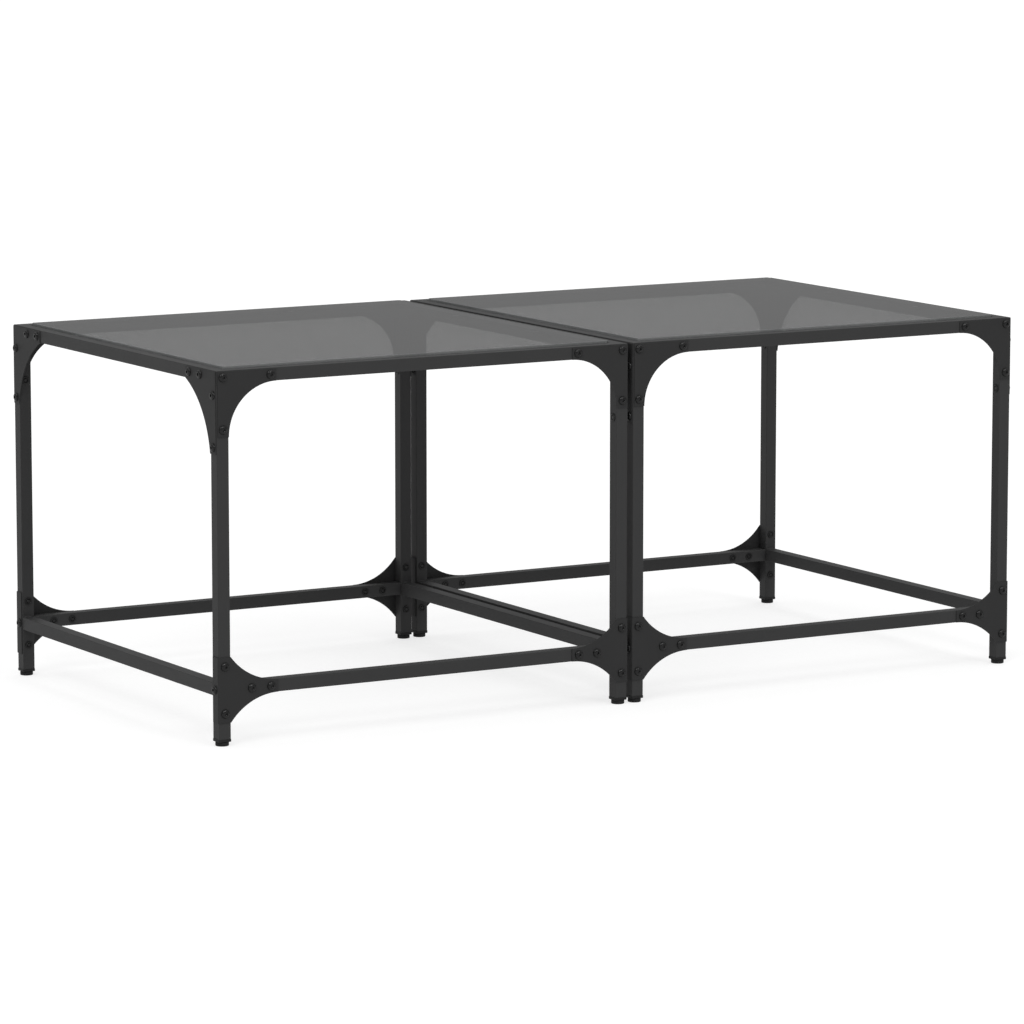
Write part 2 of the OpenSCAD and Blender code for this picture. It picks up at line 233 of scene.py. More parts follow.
def ring_faces(rows: int, count: int, through: bool = False) -> np.ndarray:
    """Quads between rings: point c of ring r joins point c + 1 and the same two on ring r + 1.

    Args:
        rows: Number of rings.
        count: Points in a ring, which closes on itself.
        through: True if the last ring joins the first, as on a bored shape.

    Returns:
        One row of four point numbers for each face, outward for a ring that runs anticlockwise.
    """
    row = np.arange(rows if through else rows - 1)[:, None]
    here = np.arange(count)[None, :]
    following = (here + 1) % count
    above = (row + 1) % rows
    quad = [row * count + here, row * count + following, above * count + following, above * count + here]
    return np.stack(quad, -1).reshape(-1, 4)


def loft(rings: np.ndarray, through: bool = False) -> Patch:
    """Skins a stack of rings, with flat ends unless the stack closes on itself.

    Args:
        rings: Array of ring, point and x, y, z.
        through: True for a bored shape, whose last ring joins the first.

    Returns:
        The closed shape.
    """
    rows, count, _ = rings.shape
    faces = [ring_faces(rows, count, through)]
    if not through:
        faces.append(np.arange(count)[::-1][None, :])
        faces.append((np.arange(count) + (rows - 1) * count)[None, :])
    return Patch(rings.reshape(-1, 3), faces)


def circle(radius: np.ndarray | float, segments: int) -> np.ndarray:
    """A ring: radius times the cosine and sine of equal steps of angle."""
    angle = np.arange(segments) * (2 * math.pi / segments)
    return np.stack([radius * np.cos(angle), radius * np.sin(angle)], -1)


def hexagon(flats: float, segments: int) -> np.ndarray:
    """A hexagon at equal angles: half the flats over the cosine of the angle from the nearest flat."""
    angle = np.arange(segments) * (2 * math.pi / segments)
    from_flat = np.mod(angle, math.pi / 3) - math.pi / 6
    return circle(flats / 2 / np.cos(from_flat), segments)


def rounded_rectangle(width: float, depth: float, radius: float, per_corner: int = 6) -> np.ndarray:
    """A ring round the origin: four quarter circles whose centres are the corners moved in by the radius."""
    angle = np.linspace(0, math.pi / 2, per_corner + 1)
    quarter = radius * np.stack([np.cos(angle), np.sin(angle)], -1)
    centre = np.array([width / 2 - radius, depth / 2 - radius])
    parts = []
    for turn in range(4):
        c, s = round(math.cos(turn * math.pi / 2)), round(math.sin(turn * math.pi / 2))
        spin = np.array([[c, -s], [s, c]])
        parts.append(quarter @ spin.T + centre * np.array([[1, 1], [-1, 1], [-1, -1], [1, -1]][turn]))
    return np.concatenate(parts)


def stack(rings: Sequence[np.ndarray], heights: Sequence[float | np.ndarray]) -> np.ndarray:
    """Gives each flat ring its height.

    Args:
        rings: Flat rings with the same number of points.
        heights: One height a ring, or one for each of its points.

    Returns:
        Array of ring, point and x, y, z.
    """
    lifted = [np.column_stack([r, np.broadcast_to(h, len(r))]) for r, h in zip(rings, heights)]
    return np.stack(lifted)


def turned(profile: Sequence[tuple[float, float]], segments: int = 48, through: bool = False) -> Patch:
    """A turned part: each radius and height of the profile makes one ring.

    Args:
        profile: Radius and height, from the lower end up the outside.
        segments: Steps round the axis.
        through: True if the profile closes on itself round a bore.

    Returns:
        The closed shape.
    """
    rings = [circle(r, segments) for r, _ in profile]
    return loft(stack(rings, [z for _, z in profile]), through)


def arc(start: Sequence[float], end: Sequence[float], radius: float, steps: int) -> np.ndarray:
    """Points on the shorter arc from start to end that bulges to the left of the way.

    The centre lies right of the chord's middle, by the root of radius squared less half the chord squared.

    Args:
        start: First point.
        end: Last point.
        radius: Radius of the arc.
        steps: Number of steps.

    Returns:
        Rows of x and y, both ends included.
    """
    p, q = np.array(start, float), np.array(end, float)
    chord = np.linalg.norm(q - p)
    along = (q - p) / chord
    reach = math.sqrt(max(radius**2 - (chord / 2) ** 2, 0.0))
    centre = (p + q) / 2 + reach * np.array([along[1], -along[0]])
    a, b = (math.atan2(*(point - centre)[::-1]) for point in (p, q))
    angle = np.linspace(a, a - (a - b) % (2 * math.pi), steps + 1)
    return centre + radius * np.stack([np.cos(angle), np.sin(angle)], -1)


def inset(loop: np.ndarray, distance: float) -> np.ndarray:
    """Moves an anticlockwise loop inwards: each point goes along the sum of its edges' normals."""
    edge = np.roll(loop, -1, 0) - loop
    edge /= np.linalg.norm(edge, axis=1, keepdims=True)
    normal = np.stack([-edge[:, 1], edge[:, 0]], -1)
    before = np.roll(normal, 1, 0)
    spread = 1 + np.sum(normal * before, 1, keepdims=True)
    return loop + distance * (normal + before) / spread


def is_inside(points: np.ndarray, loop: np.ndarray) -> np.ndarray:
    """For each point, whether a line to the right of it crosses the loop an odd number of times."""
    x, y = points[:, None, 0], points[:, None, 1]
    a, b = loop[None], np.roll(loop, -1, 0)[None]
    crosses = (a[..., 1] > y) != (b[..., 1] > y)
    rise = np.where(b[..., 1] == a[..., 1], 1.0, b[..., 1] - a[..., 1])
    at = a[..., 0] + (y - a[..., 1]) * (b[..., 0] - a[..., 0]) / rise
    return (np.sum(crosses & (x < at), 1) % 2).astype(bool)


# ---- Sheet metal ----


@dataclass(frozen=True)
class Blank:
    """A sheet blank with drilled holes and broken edges, flat in u and v with its thickness along w."""

    outline: np.ndarray
    holes: tuple[tuple[float, float], ...]
    hole_d: float
    thickness: float
    folds: tuple[float, ...] = ()
    edge: float = 0.22
    hole_steps: int = 24

    def levels(self) -> list[tuple[float, float]]:
        """How far in and how high the rows of an edge lie: small round, flat, larger round outside."""
        e, f, t = self.edge, self.edge / 4, self.thickness
        hidden = [(f, 0), (ROUND_MID * f, ROUND_MID * f), (0, f)]
        return hidden + [(0, t - e), (ROUND_MID * e, t - ROUND_MID * e), (e, t)]

    def cap(self, rings: list[np.ndarray]) -> np.ndarray:
        """Fills the sheet's face between the outline and the holes.

        Args:
            rings: The inset outline first, then the widened holes.

        Returns:
            Triangles, anticlockwise, numbered through the rings in order.
        """
        flat = np.concatenate(rings)
        starts = np.cumsum([0] + [len(r) for r in rings])
        edges = []
        for start, ring in zip(starts, rings):
            here = np.arange(len(ring))
            edges += [(start + a, start + b) for a, b in zip(here, np.roll(here, -1))]
        for u in self.folds:
            on_fold = np.flatnonzero(np.abs(rings[0][:, 0] - u) < 1e-6)
            edges.append((int(on_fold[0]), int(on_fold[-1])))
        made = delaunay_2d_cdt([Vector(p) for p in flat], edges, [], 0, 1e-7)
        source = np.array([origin[0] for origin in made[3]])
        triangles = source[np.array(made[2])]
        middle = flat[triangles].mean(1)
        keep = is_inside(middle, rings[0])
        for ring in rings[1:]:
            keep &= ~is_inside(middle, ring)
        triangles = triangles[keep]
        a, b, c = (flat[triangles[:, k]] for k in range(3))
        area = (b - a)[:, 0] * (c - a)[:, 1] - (b - a)[:, 1] * (c - a)[:, 0]
        return np.where(area[:, None] < 0, triangles[:, ::-1], triangles)

    def patch(self) -> Patch:
        """The closed sheet: two filled faces joined by rounded rows round the outline and each hole.

        Returns:
            The shape, with points as u, v and w.
        """
        levels = self.levels()
        edge_rings = [[inset(self.outline, d) for d, _ in levels]]
        for centre in self.holes:
            widen = [circle(self.hole_d / 2 + d, self.hole_steps) + centre for d, _ in levels]
            edge_rings.append(widen)
        points, faces, low, high, start = [], [], [], [], 0
        for number, rings in enumerate(edge_rings):
            rows, count = len(rings), len(rings[0])
            points.append(stack(rings, [w for _, w in levels]).reshape(-1, 3))
            quads = ring_faces(rows, count) + start
            faces.append(quads if number == 0 else quads[:, ::-1])
            low.append(np.arange(count) + start)
            high.append(np.arange(count) + start + (rows - 1) * count)
            start += rows * count
        fill = self.cap([rings[0] for rings in edge_rings])
        faces.append(np.concatenate(low)[fill][:, ::-1])
        faces.append(np.concatenate(high)[fill])
        return Patch(np.concatenate(points), faces)


# ---- Shader nodes ----


@dataclass(frozen=True)
class Value:
    """A socket that takes part in Python arithmetic, which adds Math nodes."""

    graph: "Graph"
    socket: Any

    def _math(self, operation: str, a: Any, b: Any) -> "Value":
        """One Math node on two numbers or values."""
        return self.graph.node("ShaderNodeMath", {"operation": operation}, {0: a, 1: b}).out()

    @staticmethod
    def _operator(operation: str, reflected: bool = False) -> Callable[["Value", Any], "Value"]:
        """The method of an operator, with its sides swapped if it is the reflected form."""

        def apply(self: "Value", other: Any) -> "Value":
            """Adds the operator's node."""
            pair = (other, self) if reflected else (self, other)
            return self._math(operation, *pair)

        return apply

    __add__ = _operator("ADD")
    __radd__ = _operator("ADD", True)
    __sub__ = _operator("SUBTRACT")
    __rsub__ = _operator("SUBTRACT", True)
    __mul__ = _operator("MULTIPLY")
    __rmul__ = _operator("MULTIPLY", True)
    __pow__ = _operator("POWER")


@dataclass(frozen=True)
class Step:
    """One shader node with quick access to its outputs."""

    graph: "Graph"
    made: Any

    def out(self, name: str | int = 0) -> Value:
        """An output by name or number."""
        return Value(self.graph, self.made.outputs[name])


class Graph:
    """A node tree that is written from Python."""

    def __init__(self, owner: Any) -> None:
        """Clears the tree of a material or world."""
        owner.use_nodes = True
        self.tree = owner.node_tree
        self.tree.nodes.clear()

    def node(self, kind: str, settings: dict[str, Any], inputs: dict[str | int, Any]) -> Step:
        """Adds a node.

        Args:
            kind: The node's type.
            settings: Its properties, set before its sockets.
            inputs: Plain values or Values, by socket name or number.

        Returns:
            The node.
        """
        made = self.tree.nodes.new(kind)
        for name, value in settings.items():
            setattr(made, name, value)
        for name, value in inputs.items():
            if isinstance(value, Value):
                self.tree.links.new(value.socket, made.inputs[name])
            else:
                made.inputs[name].default_value = value
        return Step(self, made)

    def place(self) -> Value:
        """Object coordinates, in metres."""
        return self.node("ShaderNodeTexCoord", {}, {}).out("Object")

    def noise(self, scale: float, detail: float = 2.0) -> Value:
        """Noise from 0 to 1 with so many features a metre."""
        sockets = {"Vector": self.place(), "Scale": scale, "Detail": detail, "Roughness": 0.55}
        return self.node("ShaderNodeTexNoise", {}, sockets).out(0)

    def blend(self, factor: Value, a: Sequence[float], b: Sequence[float]) -> Value:
        """A colour between a and b."""
        mix = self.node("ShaderNodeMix", {"data_type": "RGBA"}, {0: factor, 6: (*a, 1), 7: (*b, 1)})
        return mix.out(2)

    def bump(self, height: Value, depth: float, strength: float = 1.0) -> Value:
        """A normal tipped by a height from 0 to 1 that stands for so many metres."""
        sockets = {"Height": height, "Distance": depth, "Strength": strength}
        return self.node("ShaderNodeBump", {}, sockets).out()

    def principled(self, sockets: dict[str | int, Any]) -> None:
        """Ends the tree with a Principled shader."""
        shader = self.node("ShaderNodeBsdfPrincipled", {}, sockets)
        self.node("ShaderNodeOutputMaterial", {}, {"Surface": shader.out()})


# ---- Finishes ----


@dataclass(frozen=True)
class Finish:
    """A named finish, made once and shared."""

    name: str

    def material(self) -> bpy.types.Material:
        """The material, made at its first use."""
        found = bpy.data.materials.get(self.name)
        if found is None:
            found = bpy.data.materials.new(self.name)
            self.dress(Graph(found))
        return found

    def dress(self, graph: Graph) -> None:
        """Writes the finish's nodes."""
        raise NotImplementedError


@dataclass(frozen=True)
class PowderCoat(Finish):
    """Matt black powder coat: fine orange peel over a slow drift of tone and sheen."""

    dark: tuple[float, ...] = (0.0345, 0.0345, 0.0348)
    light: tuple[float, ...] = (0.0425, 0.0425, 0.0428)
    specular: float = 0.17
    roughness: float = 0.5
    drift: float = 0.07
    peel_scale: float = 900.0
    peel_depth: float = 0.00002

    def dress(self, graph: Graph) -> None:
        """Tone and roughness follow broad noise, and the normal follows fine noise."""
        broad = graph.noise(26.0, 3.0)
        grain = graph.noise(2600.0, 1.0)
        peel = graph.noise(self.peel_scale, 2.0)
        tone = broad * 0.7 + grain * 0.3
        graph.principled(
            {
                "Base Color": graph.blend(tone, self.dark, self.light),
                "Roughness": self.roughness + (broad - 0.5) * (2 * self.drift),
                "Specular IOR Level": self.specular,
                "Normal": graph.bump(peel * 0.8 + grain * 0.2, self.peel_depth, 0.5),
            }
        )


@dataclass(frozen=True)
class BlackOxide(Finish):
    """Oiled black steel of bolts and nuts: smoother than the coat, with a patchy oil film."""

    dark: tuple[float, ...] = (0.003, 0.003, 0.0032)
    light: tuple[float, ...] = (0.008, 0.008, 0.0083)
    specular: float = 0.36
    roughness: float = 0.27
    oil_scale: float = 700.0

    def dress(self, graph: Graph) -> None:
        """The oil film drives tone and roughness together."""
        film = graph.noise(self.oil_scale, 3.0)
        grain = graph.noise(5200.0, 1.0)
        graph.principled(
            {
                "Base Color": graph.blend(film, self.dark, self.light),
                "Roughness": self.roughness + (film - 0.5) * 0.14,
                "Specular IOR Level": self.specular,
                "Normal": graph.bump(grain, 0.00001, 0.35),
            }
        )


@dataclass(frozen=True)
class MouldedPlastic(Finish):
    """Black moulded plastic with a fine spark-eroded grain."""

    tone: float = 0.008
    roughness: float = 0.55
    grain_scale: float = 1800.0

    def dress(self, graph: Graph) -> None:
        """Fine noise drives the grain's height, and its low spots are a little glossier."""
        grain = graph.noise(self.grain_scale, 3.0)
        low = (self.tone * 0.7,) * 3
        high = (self.tone * 1.5,) * 3
        graph.principled(
            {
                "Base Color": graph.blend(grain, low, high),
                "Roughness": self.roughness + (grain - 0.5) * 0.2,
                "Specular IOR Level": 0.3,
                "Normal": graph.bump(grain, 0.00003, 0.5),
            }
        )


@dataclass(frozen=True)
class SmokedGlass(Finish):
    """Grey tinted glass: what passes falls with the slant of the view, and faint wiping marks dull it."""

    tone: tuple[float, ...] = (0.021, 0.022, 0.023)
    square_on: float = 0.43
    slanted: float = 0.52
    falloff: float = 2.7
    roughness: float = 0.035
    specular: float = 0.5

    def dress(self, graph: Graph) -> None:
        """Opacity is the square-on share plus the slanted share times a power of the slant."""
        slant = graph.node("ShaderNodeLayerWeight", {}, {"Blend": 0.5}).out("Facing")
        marks = graph.noise(9.0, 4.0)
        low = tuple(0.8 * c for c in self.tone)
        high = tuple(1.2 * c for c in self.tone)
        graph.principled(
            {
                "Base Color": graph.blend(marks, low, high),
                "Roughness": self.roughness + (marks - 0.5) * 0.03,
                "IOR": 1.5,
                "Specular IOR Level": self.specular,
                "Alpha": self.square_on + slant**self.falloff * self.slanted,
            }
        )


@dataclass(frozen=True)
class GroundEdge(Finish):
    """Ground and polished edge of the tinted glass, almost opaque because light crosses the whole pane. Its
    pale grey tone is painted light, standing for light carried through the pane to the edge.
    """

    # painted light: this pale grey stands for light carried through the pane to the edge
    tone: tuple[float, ...] = (0.19, 0.196, 0.196)
    roughness: float = 0.16

    def dress(self, graph: Graph) -> None:
        """Fine streaks of grinding drive tone and roughness."""
        streaks = graph.noise(420.0, 2.0)
        graph.principled(
            {
                "Base Color": graph.blend(streaks, tuple(0.7 * c for c in self.tone), self.tone),
                "Roughness": self.roughness + streaks * 0.12,
                "IOR": 1.5,
                "Alpha": 0.93,
            }
        )


@dataclass(frozen=True)
class ClearSilicone(Finish):
    """Clear silicone pads with a soft, slightly cloudy body."""

    def dress(self, graph: Graph) -> None:
        """Cloudiness drives tone and how much shows through."""
        cloud = graph.noise(900.0, 2.0)
        graph.principled(
            {
                "Base Color": graph.blend(cloud, (0.5, 0.52, 0.53), (0.72, 0.74, 0.75)),
                "Roughness": 0.22 + cloud * 0.12,
                "IOR": 1.41,
                "Alpha": 0.42 + cloud * 0.16,
            }
        )


@dataclass(frozen=True)
class StudioFloor(Finish):
    """Pale seamless floor that glows a little to the eye, so that shadows on it stay faint."""

    glow: float = 0.71
    spill: float = 0.57
    tone: float = 0.36

    def dress(self, graph: Graph) -> None:
        """Very faint cloudiness in a pale sheet, of whose glow only a share lights other things."""
        cloud = graph.noise(0.8, 2.0)
        eye = graph.node("ShaderNodeLightPath", {}, {}).out("Is Camera Ray")
        low = (self.tone * 0.98,) * 3
        graph.principled(
            {
                "Base Color": graph.blend(cloud, low, (self.tone,) * 3),
                "Roughness": 0.9,
                "Specular IOR Level": 0.1,
                "Emission Color": graph.blend(eye, (self.spill,) * 3, (1, 1, 1)),
                "Emission Strength": self.glow,
            }
        )


@dataclass(frozen=True)
class Finishes:
    """Every finish of the tables."""

    coat: Finish = PowderCoat("black_powder_coat")
    plate: Finish = PowderCoat(
        "black_powder_coat_plate", dark=(0.025, 0.025, 0.0253), light=(0.031, 0.031, 0.0313)
    )
    bolt: Finish = BlackOxide("black_oxide_bolt")
    nut: Finish = BlackOxide("black_oxide_nut", roughness=0.38)
    plug: Finish = MouldedPlastic("moulded_plug_plastic")
    foot: Finish = MouldedPlastic("moulded_foot_plastic", tone=0.006, roughness=0.6)
    glass: Finish = SmokedGlass("smoked_glass_face")
    glass_edge: Finish = GroundEdge("smoked_glass_edge")
    pad: Finish = ClearSilicone("clear_silicone_pad")


# ---- Sizes ----


@dataclass(frozen=True)
class TableSizes:
    """Sizes of one table in millimetres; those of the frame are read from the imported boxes."""

    table: Table
    tube_radius: float = 0.7
    plate_t: float = 1.0
    plate_setback: float = 1.0
    plate_reach: float = 70.0
    face_plate_drop: float = 70.0
    side_plate_drop: float = 88.0
    side_arc_radius: float = 97.0
    base_plate_h: float = 70.0
    flange_w: float = 12.0
    hole_d: float = 5.5
    face_leg_bolt: float = 62.0
    face_rail_bolt: float = 63.0
    side_leg_bolts: tuple[float, ...] = (26.0, 81.0)
    side_rail_bolts: tuple[float, ...] = (36.5, 62.0)
    base_leg_pitch: float = 50.0
    base_rail_bolts: tuple[float, ...] = (38.5, 61.5)

    def low(self, node: str) -> np.ndarray:
        """Lowest corner of one of this table's nodes."""
        return np.array(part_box(f"{self.table.value}_{node}")[0]) / MM

    def high(self, node: str) -> np.ndarray:
        """Highest corner of one of this table's nodes."""
        return np.array(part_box(f"{self.table.value}_{node}")[1]) / MM

    @property
    def start(self) -> np.ndarray:
        """Outer front left corner of the tube frame."""
        return np.array([self.low("leg_front_left")[0], self.low("leg_front_left")[1]])

    @property
    def plan(self) -> np.ndarray:
        """Width and depth of the tube frame."""
        return self.high("leg_back_right")[:2] - self.start

    @property
    def tube(self) -> float:
        """Side of the square tube."""
        return float(self.high("leg_front_left")[0] - self.low("leg_front_left")[0])

    @property
    def frame_h(self) -> float:
        """Height of the top rails."""
        return float(self.high("top_rail_front")[2])

    @property
    def base_rail_z(self) -> float:
        """Height of the lower rails' middle."""
        return float(self.low("base_rail_front")[2] + self.high("base_rail_front")[2]) / 2

    @property
    def leg_bottom(self) -> float:
        """Height of the legs' lower ends."""
        return float(self.low("leg_front_left")[2])

    def corner(self, corner: Corner) -> Placement:
        """Axes of a corner: origin at the outer edge of the leg, x and y pointing inwards."""
        _, right, back = corner.value
        x, y = self.start + self.plan * (right, back)
        return Placement(((-1 if right else 1, 0, 0), (0, -1 if back else 1, 0), (0, 0, 1)), (x, y, 0))

    def side(self, side: Side) -> Placement:
        """Axes of a side: x along the rail from its left end, y inwards, seen from outside that side."""
        turns = side.value[1]
        c, s = [(1, 0), (0, 1), (-1, 0), (0, -1)][turns]
        x, y = self.start + self.plan * [(0, 0), (1, 0), (1, 1), (0, 1)][turns]
        return Placement(((c, s, 0), (-s, c, 0), (0, 0, 1)), (x, y, 0))

    def side_length(self, side: Side) -> float:
        """Length of a side."""
        return float(self.plan[side.value[1] % 2])


@dataclass
class TablePart:
    """A sub-assembly of one table: its sizes, its finishes and the bodies it rides on."""

    sizes: TableSizes
    finishes: Finishes

    @property
    def prefix(self) -> str:
        """The table's part of a name."""
        return self.sizes.table.value

    def hand_over(self, made: bpy.types.Object, body: str, slot: str, nodes: Sequence[str] = ()) -> None:
        """Ties a piece to its body and hides the nodes that it stands for.

        Args:
            made: The finished piece.
            body: The part of the body's name after the table's.
            slot: The record's material slot; not used.
            nodes: Node names without the table's prefix.
        """
        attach(made, f"{self.prefix}_{body}")
        if nodes:
            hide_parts(*(f"{self.prefix}_{n}" for n in nodes))
        LOG.info("%s: %d faces", made.name, len(made.data.polygons))


# ---- Sub-assemblies ----


@dataclass
class TubeFrame(TablePart):
    """Legs and rails, which are the frame's own tubes, and the short weld beads that join them."""

    bead: float = 1.7
    bead_inset: float = 1.6
    stations: int = 26

    def build(self) -> None:
        """Coats every tube and lays the beads."""
        self.coat_tubes()
        skin = Skin(f"{self.prefix}_weld_beads")
        for corner in Corner:
            for place in self.bead_places():
                skin.add(self.bead_patch(), place.inside(self.sizes.corner(corner)))
        self.hand_over(skin.build([self.finishes.coat], 50.0), "frame", "powder_coat")

    def coat_tubes(self) -> None:
        """Gives each tube node the powder coat."""
        names = [f"{kind}_{side.label}" for kind in ("top_rail", "base_rail") for side in Side]
        names += [f"leg_{corner.label}" for corner in Corner]
        for name in names:
            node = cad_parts[f"{self.prefix}_{name}"]
            for slot in node.material_slots:
                slot.material = self.finishes.coat.material()
            LOG.info("%s: own tube, coated", node.name)

    def bead_places(self) -> Iterator[Placement]:
        """Beads above and below a side rail's end, and along a leg's two inner edges under the frame."""
        s = self.sizes
        half = s.tube / 2
        top = s.frame_h - s.tube
        yield Placement(((1, 0, 0), (0, 1, 0), (0, 0, 1)), (half, s.tube, s.base_rail_z + half))
        yield Placement(((1, 0, 0), (0, 1, 0), (0, 0, -1)), (half, s.tube, s.base_rail_z - half))
        yield Placement(((1, 0, 0), (0, 1, 0), (0, 0, -1)), (half, s.tube, top))
        yield Placement(((0, 1, 0), (1, 0, 0), (0, 0, -1)), (s.tube, half, top))

    def bead_patch(self) -> Patch:
        """One fillet bead along x in the corner of the y and z faces.

        Its section is a quarter of a flattened disc whose size falls to the ends as the root of a
        parabola and carries one ripple for each run of the torch.

        Returns:
            The closed bead.
        """
        length = self.sizes.tube - 2 * self.bead_inset
        t = np.linspace(-1, 1, self.stations)
        swell = np.sqrt(np.clip(1.02 - t**2, 0.02, 1)) * (1 + 0.06 * np.sin(t * 30))
        angle = np.linspace(0, math.pi / 2, 7)
        front = np.stack([np.cos(angle), np.sin(angle)], -1) * (0.86 + 0.1 * np.cos(4 * angle))[:, None]
        section = np.concatenate([[[-0.12, -0.12]], front])
        rings = np.empty((self.stations, len(section), 3))
        rings[..., 0] = (t * length / 2)[:, None]
        rings[..., 1:] = section[None] * (self.bead * swell)[:, None, None]
        return loft(rings)


@dataclass
class CornerPlates(TablePart):
    """Gusset plates of the top frame and the bent T plates of the lower rails."""

    arc_steps: int = 36
    bend_steps: int = 8

    def build(self) -> None:
        """Makes both kinds of plate for the four corners."""
        for corner in Corner:
            place = self.sizes.corner(corner)
            top = Skin(f"{self.prefix}_gusset_plates_{corner.label}")
            top.add(self.face_plate(), self.on_front().inside(place))
            top.add(self.side_plate(), self.on_side().inside(place))
            made = top.build([self.finishes.plate])
            self.hand_over(made, "frame", "powder_coat", [f"top_plates_{corner.label}"])
            base = Skin(f"{self.prefix}_bent_t_plate_{corner.label}")
            base.add(self.t_plate(), place)
            made = base.build([self.finishes.plate])
            self.hand_over(made, "frame", "powder_coat", [f"base_plate_{corner.label}"])

    def on_front(self) -> Placement:
        """Front face: u along the rail, v up from the frame's top, w outwards."""
        return Placement(((1, 0, 0), (0, 0, 1), (0, -1, 0)), (0, 0, self.sizes.frame_h))

    def on_side(self) -> Placement:
        """Side face: u along the side rail, v up from the frame's top, w outwards."""
        return Placement(((0, 1, 0), (0, 0, 1), (-1, 0, 0)), (0, 0, self.sizes.frame_h))

    def gusset(self, drop: float, radius: float, holes: tuple[tuple[float, float], ...]) -> Patch:
        """A flat gusset: straight outer edges and one concave arc from the leg to the rail.

        Args:
            drop: Length down the leg.
            radius: Radius of the arc.
            holes: Centres of the bolt holes.

        Returns:
            The plate in u, v and w.
        """
        s = self.sizes
        back, reach = s.plate_setback, s.plate_reach
        curve = arc((s.tube, -drop), (reach, -s.tube), radius, self.arc_steps)
        outline = np.concatenate([[[back, -drop]], curve, [[reach, -back], [back, -back]]])
        return Blank(outline, holes, s.hole_d, s.plate_t).patch()

    def face_plate(self) -> Patch:
        """Front and back gusset with three bolts and a quarter circle."""
        s = self.sizes
        mid = s.tube / 2
        radius = max(s.face_plate_drop, s.plate_reach) - s.tube
        holes = ((mid, -mid), (mid, -s.face_leg_bolt), (s.face_rail_bolt, -mid))
        return self.gusset(s.face_plate_drop, radius, holes)

    def side_plate(self) -> Patch:
        """Taller side gusset with four bolts and a flatter arc."""
        s = self.sizes
        mid = s.tube / 2
        holes = tuple((mid, -z) for z in s.side_leg_bolts) + tuple((y, -mid) for y in s.side_rail_bolts)
        return self.gusset(s.side_plate_drop, s.side_arc_radius, holes)

    def t_plate(self) -> Patch:
        """The T plate: a flat blank whose part past the fold line is wrapped round the leg's edge.

        A point at distance a past the fold turns by a over the radius of the sheet's middle, up to a
        quarter turn, and what is left of the blank runs straight along the leg's side.

        Returns:
            The plate in the corner's axes.
        """
        s = self.sizes
        r, t, half, mid = s.tube_radius, s.plate_t, s.base_plate_h / 2, s.tube / 2
        bend = (r + t / 2) * math.pi / 2
        end = r - bend - (s.flange_w - r)
        folds = r - np.linspace(0, bend, self.bend_steps + 1)
        dx, dz = s.plate_reach - s.tube, half - mid
        curve_radius = (dx**2 + dz**2) / (2 * dz)
        lower = arc((s.tube, -half), (s.plate_reach, -mid), curve_radius, self.arc_steps)
        upper = lower[::-1] * (1, -1)
        rising = [[u, -half] for u in folds[::-1]]
        falling = [[u, half] for u in folds]
        outline = np.concatenate([[[end, -half]], rising, lower, upper, falling, [[end, half]]])
        flange_hole = r - bend - (mid - r)
        holes = ((mid, -s.base_leg_pitch / 2), (mid, s.base_leg_pitch / 2), (flange_hole, 0.0))
        holes += tuple((x, 0.0) for x in s.base_rail_bolts)
        flat = Blank(outline, holes, s.hole_d, t, folds=tuple(folds)).patch()
        u, v, w = flat.points.T
        past = r - u
        turn = np.clip(past / (r + t / 2), 0, math.pi / 2)
        x = np.where(past <= 0, u, r - (r + w) * np.sin(turn))
        y = r - (r + w) * np.cos(turn) + np.maximum(past - bend, 0)
        return Patch(np.stack([x, y, v + s.base_rail_z], -1), flat.faces)


